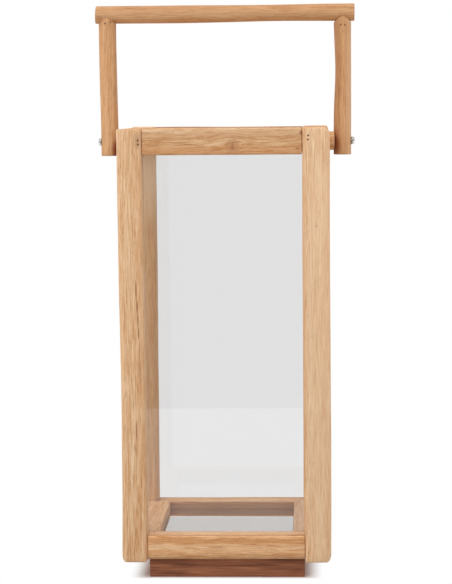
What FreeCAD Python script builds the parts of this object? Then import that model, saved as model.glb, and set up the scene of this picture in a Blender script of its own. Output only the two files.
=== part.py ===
"""A square hanging lantern: four teak posts, a frame of rails at the top and at the foot,
a glass pane in each side, a mirrored floor on a recessed plinth, and a bail handle that
swings on two screws.  Millimetres; the origin is on the ground under the middle, +Z up
and +X along the handle bar."""
import FreeCAD, Part
import os
import Sketcher

# Driving dimensions, one alias each.
SIZES = (
    ("body_width", 210, "over the posts, along the handle bar"),
    ("body_depth", 210, "over the posts, front to rear"),
    ("body_top", 451, "ground to the top of the posts"),
    ("post_side", 26.5, "square section of a post"),
    ("post_round", 6, "radius of a post's long edges"),
    ("post_end_round", 3, "radius round a post's lower end"),
    ("post_foot", 15.5, "ground to the lower end of a post"),
    ("rail_setback", 1.5, "rails behind the outer faces of the posts"),
    ("rail_round", 3.5, "radius of a rail's long edges"),
    ("top_rail_tall", 27, "height of a top rail"),
    ("bottom_rail_tall", 24, "height of a bottom rail"),
    ("side_ledge", 11, "lower side rails inside the inner faces of the posts"),
    ("tenon_thick", 8, "thickness of a rail's tenon"),
    ("tenon_shoulder", 5, "rail above and below its tenon"),
    ("tenon_gap", 0.5, "between the two tenons that meet inside a post"),
    ("mortise_fit", 0.1, "glue gap round a tenon"),
    ("pane_thick", 3, "glass"),
    ("pane_setback", 6, "glass behind the outer faces of the posts"),
    ("pane_groove", 4, "depth of the glazing grooves"),
    ("pane_fit", 0.2, "between the glass and each wall of its groove"),
    ("board_thick", 6, "floor board under the mirror"),
    ("board_rise", 6.5, "underside of the bottom rails to the floor board"),
    ("board_groove", 3, "depth of the grooves for the floor board"),
    ("board_fit", 0.2, "between the floor board and its grooves"),
    ("mirror_thick", 3, "mirror plate on the floor board"),
    ("mirror_fit", 0.5, "between the mirror and the rails round it"),
    ("plinth_tall", 19.5, "ground to the bottom rails"),
    ("plinth_thick", 18, "thickness of a plinth strip"),
    ("plinth_setback", 9.5, "plinth behind the front and rear faces of the posts"),
    ("plinth_fit", 0.5, "between the plinth and the inner faces of the posts"),
    ("plinth_screw_inset", 5, "plinth screw from the outer face of its strip"),
    ("plinth_screw_spacing", 90, "between the two screws of a strip"),
    ("plinth_screw_length", 32, "whole length of a plinth screw"),
    ("wood_screw_thick", 4, "shank of a screw"),
    ("countersink_wide", 8, "head of a plinth screw"),
    ("countersink_deep", 2.4, "height of a plinth screw's head"),
    ("thread_fit", 0.05, "round a shank in the wood that holds it"),
    ("brad_thick", 1.4, "brads that pin the joints"),
    ("brad_length", 15, "length of a frame brad"),
    ("brad_drop", 10, "top of the posts to the upper brad"),
    ("brad_pitch", 4.2, "between the two brads of a joint"),
    ("brad_fit", 0.05, "round a brad"),
    ("handle_gap", 5.5, "between the posts and the handle's uprights"),
    ("upright_thick", 18.7, "diameter of an upright"),
    ("upright_tail", 14.2, "pivot to the lower end of an upright"),
    ("bar_thick", 18.7, "diameter of the handle bar"),
    ("bar_overhang", 4.2, "bar beyond the uprights at each end"),
    ("bar_round", 0.8, "edge of the bar's sawn ends"),
    ("handle_reach", 130.7, "pivot to the middle of the bar"),
    ("cope_fit", 0.05, "glue line between an upright and the bar"),
    ("pivot_drop", 15.1, "top of the posts to the handle's pivot"),
    ("spacer_wide", 19.5, "diameter of the turned spacer behind an upright"),
    ("spacer_seat", 0.8, "depth of the spacer's seat in the upright"),
    ("seat_fit", 0.5, "round the spacer and the screw head in their seats"),
    ("pivot_fit", 0.05, "running clearance round the pivot screw"),
    ("pivot_grip", 18, "pivot screw's hold in the rail"),
    ("head_wide", 8, "pan head of the pivot screw"),
    ("head_tall", 3.6, "height of the pan head"),
    ("head_round", 1.8, "edge of the pan head"),
    ("head_seat", 1, "depth of the head's seat in the upright"),
    ("recess_long", 4.6, "arms of the cross recess"),
    ("recess_wide", 1, "width of an arm"),
    ("recess_deep", 1.6, "depth of the recess"),
    ("handle_brad_length", 17, "brads from the uprights up into the bar"),
    ("handle_brad_drop", 6, "underside of the bar to where its brads enter"),
    ("handle_brad_pitch", 4.4, "between the two brads of an upright"),
    ("handle_brad_slope", 55, "brads above the horizontal, in degrees"),
    ("screw_tip", 4, "length of a pivot screw's tapered end"),
    ("screw_point", 1, "diameter of its blunt point"),
)

# Lengths worked out from them, as expressions of the sheet.
OPENING_WIDE = "(Sizes.body_width - 2 * Sizes.post_side)"
OPENING_DEEP = "(Sizes.body_depth - 2 * Sizes.post_side)"
FRONT = "(Sizes.body_depth / 2)"
SIDE = "(Sizes.body_width / 2)"
POST_OFFSET_X = "(Sizes.body_width / 2 - Sizes.post_side / 2)"
POST_OFFSET_Y = "(Sizes.body_depth / 2 - Sizes.post_side / 2)"
POST_TALL = "(Sizes.body_top - Sizes.post_foot)"
TENON_LONG = "(Sizes.post_side / 2 - Sizes.tenon_thick / 2 - Sizes.tenon_gap)"
TENON_NEAR = "(Sizes.post_side / 2 - Sizes.rail_setback - Sizes.tenon_thick / 2)"
TOP_RAIL_FOOT = "(Sizes.body_top - Sizes.top_rail_tall)"
BOTTOM_RAIL_TOP = "(Sizes.plinth_tall + Sizes.bottom_rail_tall)"
RAIL_THICK = "(Sizes.post_side - Sizes.rail_setback)"
SIDE_RAIL_THICK = f"({RAIL_THICK} + Sizes.side_ledge)"
PANE_FOOT = f"({BOTTOM_RAIL_TOP} - Sizes.pane_groove)"
PANE_TALL = f"({TOP_RAIL_FOOT} - {BOTTOM_RAIL_TOP} + 2 * Sizes.pane_groove - Sizes.pane_fit)"
PANE_SLOT = "(Sizes.pane_thick + 2 * Sizes.pane_fit)"
BOARD_FOOT = "(Sizes.plinth_tall + Sizes.board_rise)"
FLOOR_HALF_WIDE = f"({OPENING_WIDE} / 2 - Sizes.side_ledge)"
FLOOR_HALF_DEEP = f"({OPENING_DEEP} / 2)"
PLINTH_WIDE = f"({OPENING_WIDE} - 2 * Sizes.plinth_fit)"
PLINTH_DEEP = "(Sizes.body_depth - 2 * Sizes.plinth_setback)"
BRAD_NEAR = f"({TENON_LONG} / 2)"
PIVOT_HEIGHT = "(Sizes.body_top - Sizes.pivot_drop)"
UPRIGHT_OFFSET = "(Sizes.body_width / 2 + Sizes.handle_gap + Sizes.upright_thick / 2)"
SPACER_LONG = "(Sizes.rail_setback + Sizes.handle_gap + Sizes.spacer_seat)"
BAR_HEIGHT = f"({PIVOT_HEIGHT} + Sizes.handle_reach)"
BAR_LONG = f"(2 * ({UPRIGHT_OFFSET} + Sizes.upright_thick / 2 + Sizes.bar_overhang))"
HEAD_SEAT_OFFSET = f"({UPRIGHT_OFFSET} + Sizes.upright_thick / 2 - Sizes.head_seat)"
PIVOT_SHANK = f"({HEAD_SEAT_OFFSET} - {SIDE} + Sizes.rail_setback + Sizes.pivot_grip)"
BRAD_ENTRY = f"({BAR_HEIGHT} - Sizes.bar_thick / 2 - Sizes.handle_brad_drop)"

# For a piece turned by so many degrees, the way from its middle to its own start.
TO_START = {0: ("-1", "0"), 90: ("0", "-1"), 180: ("1", "0"), 270: ("0", "1")}

# A sketch is drawn at a rough size, which its constraints then set to the real one.
ROUGH = 9

# Edges count as parallel or level within this.
CLOSE = 1e-6

# Turns that lay a primitive's own Z axis along or against a row axis.
ALONG_X = FreeCAD.Rotation(FreeCAD.Vector(0, 1, 0), 90)
ALONG_Y = FreeCAD.Rotation(FreeCAD.Vector(1, 0, 0), -90)
AGAINST_X = FreeCAD.Rotation(FreeCAD.Vector(0, 1, 0), -90)
AGAINST_Y = FreeCAD.Rotation(FreeCAD.Vector(1, 0, 0), 90)
UPWARDS = FreeCAD.Rotation()

doc = FreeCAD.newDocument("lantern")
sheet = doc.addObject("Spreadsheet::Sheet", "Sizes")
for row, (alias, value, note) in enumerate(SIZES, start=1):
    sheet.set(f"A{row}", note)
    sheet.set(f"B{row}", str(value))
    sheet.setAlias(f"B{row}", alias)
doc.recompute()

# The brads of the handle slant up and back from the front of each upright.
SLANTED = FreeCAD.Rotation(FreeCAD.Vector(1, 0, 0), sheet.handle_brad_slope - 90)

nodes = []


def turned(degrees):
    """A turn about the vertical."""
    return FreeCAD.Rotation(FreeCAD.Vector(0, 0, 1), degrees)


def place(thing, rotation, x="0", y="0", z="0"):
    """Turn an object and bind its position to the sheet."""
    thing.Placement = FreeCAD.Placement(FreeCAD.Vector(), rotation)
    for axis, expression in (("x", x), ("y", y), ("z", z)):
        thing.setExpression(f"Placement.Base.{axis}", expression)


def new_body(label, rotation, x="0", y="0", z="0"):
    """A body for one wooden or steel piece."""
    body = doc.addObject("PartDesign::Body", label)
    body.Label = label
    place(body, rotation, x, y, z)
    nodes.append(body)
    return body


def sketch_on(body, name, role):
    """An empty sketch on one of the body's own origin planes."""
    sketch = body.newObject("Sketcher::SketchObject", name)
    plane = next(item for item in body.Origin.OriginFeatures if item.Role == role)
    sketch.AttachmentSupport = [(plane, "")]
    sketch.MapMode = "FlatFace"
    return sketch


def rectangle(body, name, role, left, lower, wide, tall):
    """A sketched rectangle, its corner and sides bound to the sheet."""
    sketch = sketch_on(body, name, role)
    corners = [FreeCAD.Vector(*at) for at in ((0, 0), (ROUGH, 0), (ROUGH, ROUGH), (0, ROUGH))]
    for index, corner in enumerate(corners):
        sketch.addGeometry(Part.LineSegment(corner, corners[(index + 1) % 4]), False)
    for index in range(4):
        sketch.addConstraint(Sketcher.Constraint("Coincident", index, 2, (index + 1) % 4, 1))
    for kind, index in (("Horizontal", 0), ("Vertical", 1), ("Horizontal", 2), ("Vertical", 3)):
        sketch.addConstraint(Sketcher.Constraint(kind, index))
    bound = (
        (Sketcher.Constraint("DistanceX", 0, 1, 0, 2, ROUGH), wide),
        (Sketcher.Constraint("DistanceY", 1, 1, 1, 2, ROUGH), tall),
        (Sketcher.Constraint("DistanceX", -1, 1, 0, 1, 0), left),
        (Sketcher.Constraint("DistanceY", -1, 1, 0, 1, 0), lower),
    )
    for constraint, expression in bound:
        index = sketch.addConstraint(constraint)
        sketch.setExpression(f"Constraints[{index}]", expression)
    return sketch


def circle(body, name, role, diameter):
    """A sketched circle about the body's origin."""
    sketch = sketch_on(body, name, role)
    sketch.addGeometry(Part.Circle(FreeCAD.Vector(), FreeCAD.Vector(0, 0, 1), ROUGH), False)
    sketch.addConstraint(Sketcher.Constraint("Coincident", 0, 3, -1, 1))
    index = sketch.addConstraint(Sketcher.Constraint("Diameter", 0, 2 * ROUGH))
    sketch.setExpression(f"Constraints[{index}]", diameter)
    return sketch


def pad(body, name, sketch, length):
    """A pad of the sketch along its normal."""
    feature = body.newObject("PartDesign::Pad", name)
    feature.Profile = sketch
    feature.setExpression("Length", length)
    return feature


def block(body, kind, name, corner, sides):
    """A box added to or cut from a body."""
    feature = body.newObject(f"PartDesign::{kind}Box", name)
    place(feature, UPWARDS, *corner)
    for side, expression in zip(("Length", "Width", "Height"), sides):
        feature.setExpression(side, expression)
    return feature


def rod(body, kind, name, rotation, start, radius, length):
    """A cylinder added to or cut from a body."""
    feature = body.newObject(f"PartDesign::{kind}Cylinder", name)
    place(feature, rotation, *start)
    feature.setExpression("Radius", radius)
    feature.setExpression("Height", length)
    return feature


def round_edges(body, name, radius, wanted):
    """A fillet on the edges of the body so far that a test picks."""
    doc.recompute()
    base = body.Tip
    edges = [f"Edge{number}" for number, edge in enumerate(base.Shape.Edges, start=1) if wanted(edge)]
    feature = body.newObject("PartDesign::Fillet", name)
    feature.Base = (base, edges)
    feature.setExpression("Radius", radius)
    doc.recompute()
    return feature


def runs_along(edge, axis):
    """Whether an edge is straight and parallel to an axis of its body."""
    if len(edge.Vertexes) != 2:
        return False
    run = edge.Vertexes[1].Point - edge.Vertexes[0].Point
    return abs(abs(run.normalize().dot(axis)) - 1) < CLOSE


def lies_level(edge, height):
    """Whether the whole edge lies at one height."""
    box = edge.BoundBox
    return abs(box.ZMin - height) < CLOSE and abs(box.ZMax - height) < CLOSE


def make_post(label, rotation, x, y):
    """A corner post.  Its own +X and +Y faces take the rails and the glass."""
    body = new_body(label, rotation, x, y, "Sizes.post_foot")
    near = "-Sizes.post_side / 2"
    section = rectangle(body, f"{label}_section", "XY_Plane", near, near, "Sizes.post_side",
                        "Sizes.post_side")
    pad(body, f"{label}_pad", section, POST_TALL)
    upright = FreeCAD.Vector(0, 0, 1)
    round_edges(body, f"{label}_edges", "Sizes.post_round", lambda edge: runs_along(edge, upright))
    round_edges(body, f"{label}_foot", "Sizes.post_end_round", lambda edge: lies_level(edge, 0))
    slot_start = "-Sizes.post_side / 2 + Sizes.pane_setback - Sizes.pane_fit"
    slot_face = "Sizes.post_side / 2 - Sizes.pane_groove"
    slot_foot = f"{PANE_FOOT} - Sizes.post_foot"
    slot_tall = f"{PANE_TALL} + Sizes.pane_fit"
    block(body, "Subtractive", f"{label}_groove_x", (slot_face, slot_start, slot_foot),
          ("Sizes.pane_groove", PANE_SLOT, slot_tall))
    block(body, "Subtractive", f"{label}_groove_y", (slot_start, slot_face, slot_foot),
          (PANE_SLOT, "Sizes.pane_groove", slot_tall))
    mortise_near = f"Sizes.post_side / 2 - {TENON_LONG} - Sizes.mortise_fit"
    mortise_side = "-Sizes.tenon_thick / 2 - Sizes.mortise_fit"
    mortise_wide = "Sizes.tenon_thick + 2 * Sizes.mortise_fit"
    mortise_deep = f"{TENON_LONG} + Sizes.mortise_fit"
    for level, rail_foot, rail_tall in (("bottom", "Sizes.plinth_tall", "Sizes.bottom_rail_tall"),
                                        ("top", TOP_RAIL_FOOT, "Sizes.top_rail_tall")):
        foot = f"{rail_foot} - Sizes.post_foot + Sizes.tenon_shoulder - Sizes.mortise_fit"
        tall = f"{rail_tall} - 2 * Sizes.tenon_shoulder + 2 * Sizes.mortise_fit"
        block(body, "Subtractive", f"{label}_{level}_mortise_x", (mortise_near, mortise_side, foot),
              (mortise_deep, mortise_wide, tall))
        block(body, "Subtractive", f"{label}_{level}_mortise_y", (mortise_side, mortise_near, foot),
              (mortise_wide, mortise_deep, tall))
    for number in (0, 1):
        height = f"{POST_TALL} - Sizes.brad_drop - {number} * Sizes.brad_pitch"
        face = "-Sizes.post_side / 2"
        inset = f"Sizes.post_side / 2 - {BRAD_NEAR}"
        radius = "Sizes.brad_thick / 2 + Sizes.brad_fit"
        rod(body, "Subtractive", f"{label}_brad_y{number}", ALONG_Y, (inset, face, height), radius,
            "Sizes.brad_length")
        rod(body, "Subtractive", f"{label}_brad_x{number}", ALONG_X, (face, inset, height), radius,
            "Sizes.brad_length")
    return body


def make_rail(label, turn, span, out_x, out_y, foot, tall, thick):
    """A rail with its length along its own X, from one post to the other, and its outer
    face at its own Y = 0.  out_x and out_y place the middle of that face."""
    along = TO_START[turn]
    start_x = f"{out_x} + {along[0]} * {span} / 2"
    start_y = f"{out_y} + {along[1]} * {span} / 2"
    body = new_body(label, turned(turn), start_x, start_y, foot)
    section = rectangle(body, f"{label}_section", "YZ_Plane", "0", "0", thick, tall)
    pad(body, f"{label}_pad", section, span)
    lengthwise = FreeCAD.Vector(1, 0, 0)
    round_edges(body, f"{label}_edges", "Sizes.rail_round", lambda edge: runs_along(edge, lengthwise))
    tenon_tall = f"{tall} - 2 * Sizes.tenon_shoulder"
    for end, start in (("near", f"-{TENON_LONG}"), ("far", span)):
        block(body, "Additive", f"{label}_{end}_tenon", (start, TENON_NEAR, "Sizes.tenon_shoulder"),
              (TENON_LONG, "Sizes.tenon_thick", tenon_tall))
    return body


def cut_pane_groove(body, span, height):
    """The glazing groove along a rail."""
    start = "Sizes.pane_setback - Sizes.rail_setback - Sizes.pane_fit"
    block(body, "Subtractive", f"{body.Label}_pane_groove", ("0", start, height),
          (span, PANE_SLOT, "Sizes.pane_groove"))


def make_top_rail(label, turn, span, out_x, out_y):
    """A top rail, with the holes of the brads that pin its tenons."""
    body = make_rail(label, turn, span, out_x, out_y, TOP_RAIL_FOOT, "Sizes.top_rail_tall",
                     RAIL_THICK)
    cut_pane_groove(body, span, "0")
    radius = "Sizes.brad_thick / 2 + Sizes.brad_fit"
    for end, inset in (("near", f"-{BRAD_NEAR}"), ("far", f"{span} + {BRAD_NEAR}")):
        for number in (0, 1):
            height = f"Sizes.top_rail_tall - Sizes.brad_drop - {number} * Sizes.brad_pitch"
            rod(body, "Subtractive", f"{label}_{end}_brad{number}", ALONG_Y,
                (inset, "-Sizes.rail_setback", height), radius, "Sizes.brad_length")
    return body


def make_bottom_rail(label, turn, span, out_x, out_y, thick, screw_inset):
    """A bottom rail, grooved for the glass above and for the floor board inside, with
    the upper ends of the plinth's screw holes screw_inset behind its outer face."""
    body = make_rail(label, turn, span, out_x, out_y, "Sizes.plinth_tall",
                     "Sizes.bottom_rail_tall", thick)
    cut_pane_groove(body, span, "Sizes.bottom_rail_tall - Sizes.pane_groove")
    block(body, "Subtractive", f"{label}_board_groove",
          ("0", f"{thick} - Sizes.board_groove", "Sizes.board_rise - Sizes.board_fit"),
          (span, "Sizes.board_groove", "Sizes.board_thick + 2 * Sizes.board_fit"))
    for number, sign in ((0, "-"), (1, "+")):
        cut_plinth_screw(body, f"{label}_screw{number}", f"{span} / 2 {sign} Sizes.plinth_screw_spacing / 2",
                         screw_inset, "-Sizes.plinth_tall")
    return body


def make_plate(label, half_wide, half_deep, foot, thick):
    """A flat rectangular plate centred on the lantern."""
    plate = doc.addObject("Part::Box", label)
    plate.Label = label
    place(plate, UPWARDS, f"-{half_wide}", f"-{half_deep}", foot)
    plate.setExpression("Length", f"2 * {half_wide}")
    plate.setExpression("Width", f"2 * {half_deep}")
    plate.setExpression("Height", thick)
    nodes.append(plate)
    return plate


def make_pane(label, turn, opening, out_x, out_y):
    """A pane of glass, standing in the grooves of two posts and two rails."""
    wide = f"({opening} + 2 * Sizes.pane_groove - 2 * Sizes.pane_fit)"
    along = TO_START[turn]
    pane = doc.addObject("Part::Box", label)
    pane.Label = label
    place(pane, turned(turn), f"{out_x} + {along[0]} * {wide} / 2", f"{out_y} + {along[1]} * {wide} / 2",
          PANE_FOOT)
    pane.setExpression("Length", wide)
    pane.setExpression("Width", "Sizes.pane_thick")
    pane.setExpression("Height", PANE_TALL)
    nodes.append(pane)
    return pane


def make_plinth_strip(label, turn, long, out_x, out_y):
    """A plinth strip with two countersunk screw holes through its underside."""
    along = TO_START[turn]
    body = new_body(label, turned(turn), f"{out_x} + {along[0]} * {long} / 2",
                    f"{out_y} + {along[1]} * {long} / 2")
    section = rectangle(body, f"{label}_section", "YZ_Plane", "0", "0", "Sizes.plinth_thick",
                        "Sizes.plinth_tall")
    pad(body, f"{label}_pad", section, long)
    for number, sign in ((0, "-"), (1, "+")):
        centre = f"{long} / 2 {sign} Sizes.plinth_screw_spacing / 2"
        cut_plinth_screw(body, f"{label}_screw{number}", centre, "Sizes.plinth_screw_inset", "0")
        sink = body.newObject("PartDesign::SubtractiveCone", f"{label}_countersink{number}")
        place(sink, UPWARDS, centre, "Sizes.plinth_screw_inset", "0")
        sink.setExpression("Radius1", "Sizes.countersink_wide / 2 + Sizes.thread_fit")
        sink.setExpression("Radius2", "Sizes.wood_screw_thick / 2 + Sizes.thread_fit")
        sink.setExpression("Height", "Sizes.countersink_deep")
    return body


def cut_plinth_screw(body, name, along, inset, ground):
    """The hole of one plinth screw, ground being the height of its head in the body."""
    rod(body, "Subtractive", name, UPWARDS, (along, inset, ground),
        "Sizes.wood_screw_thick / 2 + Sizes.thread_fit", "Sizes.plinth_screw_length")


def make_group(label, members):
    """Loose fasteners of one kind, kept together as separate solids."""
    group = doc.addObject("Part::Compound", label)
    group.Label = label
    group.Links = members
    nodes.append(group)
    return group


def steel_rod(name, rotation, start, diameter, length):
    """A cylinder that stands for a shank or a brad."""
    shank = doc.addObject("Part::Cylinder", name)
    place(shank, rotation, *start)
    shank.setExpression("Radius", f"{diameter} / 2")
    shank.setExpression("Height", length)
    return shank


def make_plinth_screw(name, x, y):
    """A countersunk wood screw that stands in the plinth with its head flush below."""
    shank = steel_rod(f"{name}_shank", UPWARDS, (x, y, "0"), "Sizes.wood_screw_thick",
                      "Sizes.plinth_screw_length")
    head = doc.addObject("Part::Cone", f"{name}_head")
    place(head, UPWARDS, x, y)
    head.setExpression("Radius1", "Sizes.countersink_wide / 2")
    head.setExpression("Radius2", "Sizes.wood_screw_thick / 2")
    head.setExpression("Height", "Sizes.countersink_deep")
    screw = doc.addObject("Part::MultiFuse", name)
    screw.Shapes = [shank, head]
    return screw


def make_pivot_screw(label, turn, sign):
    """A pan-head wood screw along the pivot axis, its head outwards on its own +X."""
    body = new_body(label, turned(turn), f"{sign}{HEAD_SEAT_OFFSET}", "0", PIVOT_HEIGHT)
    shank_radius = "Sizes.wood_screw_thick / 2"
    rod(body, "Additive", f"{label}_shank", ALONG_X, (f"Sizes.screw_tip - {PIVOT_SHANK}", "0", "0"),
        shank_radius, f"{PIVOT_SHANK} - Sizes.screw_tip")
    tip = body.newObject("PartDesign::AdditiveCone", f"{label}_tip")
    place(tip, AGAINST_X, f"Sizes.screw_tip - {PIVOT_SHANK}", "0", "0")
    tip.setExpression("Radius1", shank_radius)
    tip.setExpression("Radius2", "Sizes.screw_point / 2")
    tip.setExpression("Height", "Sizes.screw_tip")
    rod(body, "Additive", f"{label}_head", ALONG_X, ("0", "0", "0"), "Sizes.head_wide / 2",
        "Sizes.head_tall")
    round_edges(body, f"{label}_pan", "Sizes.head_round",
                lambda edge: edge.Closed and edge.BoundBox.XMin > sheet.head_tall / 2)
    for arm, wide, tall in (("level", "Sizes.recess_long", "Sizes.recess_wide"),
                            ("upright", "Sizes.recess_wide", "Sizes.recess_long")):
        block(body, "Subtractive", f"{label}_{arm}_arm",
              ("Sizes.head_tall - Sizes.recess_deep", f"-{wide} / 2", f"-{tall} / 2"),
              ("Sizes.recess_deep", wide, tall))
    return body


def cut_handle_brads(body, x, height):
    """Holes for the two slanting brads beside x, height being where they enter."""
    for number, side in ((0, "-"), (1, "+")):
        rod(body, "Subtractive", f"{body.Label}_brad_{number}_at_{len(body.Group)}", SLANTED,
            (f"{x} {side} Sizes.handle_brad_pitch / 2", "-Sizes.upright_thick / 2", height),
            "Sizes.brad_thick / 2 + Sizes.brad_fit", "Sizes.handle_brad_length")


def make_upright(label, sign, inwards, outwards):
    """A round upright of the handle, with the pivot axis through its own origin.  The bar
    lies in a round cope in its upper end; spacer and screw head sit in round seats."""
    body = new_body(label, UPWARDS, f"{sign}{UPRIGHT_OFFSET}", "0", PIVOT_HEIGHT)
    section = circle(body, f"{label}_section", "XY_Plane", "Sizes.upright_thick")
    section.setExpression("AttachmentOffset.Base.z", "-Sizes.upright_tail")
    pad(body, f"{label}_pad", section, "Sizes.upright_tail + Sizes.handle_reach")
    inner, outer = ("", "-") if sign else ("-", "")
    half = "Sizes.upright_thick / 2"
    rod(body, "Subtractive", f"{label}_cope", ALONG_X, ("-Sizes.upright_thick", "0", "Sizes.handle_reach"),
        "Sizes.bar_thick / 2 + Sizes.cope_fit", "2 * Sizes.upright_thick")
    rod(body, "Subtractive", f"{label}_spacer_seat", outwards, (f"{inner}{half}", "0", "0"),
        "Sizes.spacer_wide / 2 + Sizes.seat_fit", "Sizes.spacer_seat")
    rod(body, "Subtractive", f"{label}_head_seat", inwards, (f"{outer}{half}", "0", "0"),
        "Sizes.head_wide / 2 + Sizes.seat_fit", "Sizes.head_seat")
    rod(body, "Subtractive", f"{label}_pivot", ALONG_X, ("-Sizes.upright_thick", "0", "0"),
        "Sizes.wood_screw_thick / 2 + Sizes.pivot_fit", "2 * Sizes.upright_thick")
    cut_handle_brads(body, "0", f"{BRAD_ENTRY} - {PIVOT_HEIGHT}")
    return body


doc.recompute()

# Posts, front left first and then round the lantern.
make_post("post_front_left", turned(0), f"-{POST_OFFSET_X}", f"-{POST_OFFSET_Y}")
make_post("post_front_right", turned(90), POST_OFFSET_X, f"-{POST_OFFSET_Y}")
make_post("post_rear_right", turned(180), POST_OFFSET_X, POST_OFFSET_Y)
make_post("post_rear_left", turned(270), f"-{POST_OFFSET_X}", POST_OFFSET_Y)

# The four sides: name, turn, clear opening, which way out, thickness of the bottom rail,
# and how far its outer face stands outside the plinth.
FRONT_STEP = "(Sizes.plinth_setback - Sizes.rail_setback)"
SIDE_STEP = f"({SIDE} - Sizes.rail_setback - {PLINTH_WIDE} / 2)"
SIDES = (
    ("front", 0, OPENING_WIDE, "0", "-1", RAIL_THICK, FRONT_STEP),
    ("right", 90, OPENING_DEEP, "1", "0", SIDE_RAIL_THICK, SIDE_STEP),
    ("rear", 180, OPENING_WIDE, "0", "1", RAIL_THICK, FRONT_STEP),
    ("left", 270, OPENING_DEEP, "-1", "0", SIDE_RAIL_THICK, SIDE_STEP),
)
for side, turn, opening, out_x, out_y, bottom_thick, step in SIDES:
    face_x = f"{out_x} * ({SIDE} - Sizes.rail_setback)"
    face_y = f"{out_y} * ({FRONT} - Sizes.rail_setback)"
    top_rail = make_top_rail(f"top_rail_{side}", turn, opening, face_x, face_y)
    if side in ("right", "left"):
        rod(top_rail, "Subtractive", f"top_rail_{side}_pivot", ALONG_Y,
            (f"{opening} / 2", "0", "Sizes.top_rail_tall - Sizes.pivot_drop"),
            "Sizes.wood_screw_thick / 2 + Sizes.thread_fit", "Sizes.pivot_grip")
    make_bottom_rail(f"bottom_rail_{side}", turn, opening, face_x, face_y, bottom_thick,
                     f"{step} + Sizes.plinth_screw_inset")
    make_pane(f"pane_{side}", turn, opening, f"{out_x} * ({SIDE} - Sizes.pane_setback)",
              f"{out_y} * ({FRONT} - Sizes.pane_setback)")
doc.recompute()


# The floor: a board in the bottom rails' grooves, and the mirror that lies on it.
make_plate("base_board", f"({FLOOR_HALF_WIDE} + Sizes.board_groove - Sizes.board_fit)",
           f"({FLOOR_HALF_DEEP} + Sizes.board_groove - Sizes.board_fit)", BOARD_FOOT,
           "Sizes.board_thick")
make_plate("base_mirror", f"({FLOOR_HALF_WIDE} - Sizes.mirror_fit)",
           f"({FLOOR_HALF_DEEP} - Sizes.mirror_fit)", f"{BOARD_FOOT} + Sizes.board_thick",
           "Sizes.mirror_thick")

# The plinth: long strips at the front and rear, short ones between them, and two screws
# through each strip into the rail above it.
SHORT_STRIP = f"({PLINTH_DEEP} - 2 * Sizes.plinth_thick)"
STRIPS = (
    ("front", 0, PLINTH_WIDE, "0", f"-{PLINTH_DEEP} / 2"),
    ("right", 90, SHORT_STRIP, f"{PLINTH_WIDE} / 2", "0"),
    ("rear", 180, PLINTH_WIDE, "0", f"{PLINTH_DEEP} / 2"),
    ("left", 270, SHORT_STRIP, f"-{PLINTH_WIDE} / 2", "0"),
)
plinth_screws = []
for side, turn, long, out_x, out_y in STRIPS:
    make_plinth_strip(f"plinth_{side}", turn, long, out_x, out_y)
    for number, sign in ((0, "-"), (1, "+")):
        across = f"{sign}Sizes.plinth_screw_spacing / 2"
        if side in ("front", "rear"):
            inwards = "+" if side == "front" else "-"
            x, y = across, f"{out_y} {inwards} Sizes.plinth_screw_inset"
        else:
            inwards = "-" if side == "right" else "+"
            x, y = f"{out_x} {inwards} Sizes.plinth_screw_inset", across
        plinth_screws.append(make_plinth_screw(f"plinth_screw_{side}_{number}", x, y))
make_group("plinth_screws", plinth_screws)

# Brads through each corner post into the tenons of the two top rails that meet in it.
brads = []
for x_sign, x_word in (("-", "left"), ("", "right")):
    for y_sign, y_word in (("-", "front"), ("", "rear")):
        for number in (0, 1):
            height = f"Sizes.body_top - Sizes.brad_drop - {number} * Sizes.brad_pitch"
            name = f"brad_{y_word}_{x_word}_{number}"
            brads.append(steel_rod(f"{name}_across", ALONG_Y if y_sign else AGAINST_Y,
                                   (f"{x_sign}({OPENING_WIDE} / 2 + {BRAD_NEAR})",
                                    f"{y_sign}{FRONT}", height),
                                   "Sizes.brad_thick", "Sizes.brad_length"))
            brads.append(steel_rod(f"{name}_along", ALONG_X if x_sign else AGAINST_X,
                                   (f"{x_sign}{SIDE}",
                                    f"{y_sign}({OPENING_DEEP} / 2 + {BRAD_NEAR})", height),
                                   "Sizes.brad_thick", "Sizes.brad_length"))
make_group("joint_brads", brads)

# The pivots: a turned spacer on each side rail, and a screw through upright and spacer.
for side, turn, sign, inwards, outwards in (("left", 180, "-", ALONG_X, AGAINST_X),
                                            ("right", 0, "", AGAINST_X, ALONG_X)):
    spacer = new_body(f"spacer_{side}", turned(turn), f"{sign}({SIDE} - Sizes.rail_setback)", "0",
                      PIVOT_HEIGHT)
    rod(spacer, "Additive", f"spacer_{side}_turned", ALONG_X, ("0", "0", "0"),
        "Sizes.spacer_wide / 2", SPACER_LONG)
    rod(spacer, "Subtractive", f"spacer_{side}_pivot", ALONG_X, ("0", "0", "0"),
        "Sizes.wood_screw_thick / 2 + Sizes.pivot_fit", SPACER_LONG)
    make_pivot_screw(f"pivot_screw_{side}", turn, sign)
    make_upright(f"handle_upright_{side}", sign, inwards, outwards)

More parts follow.
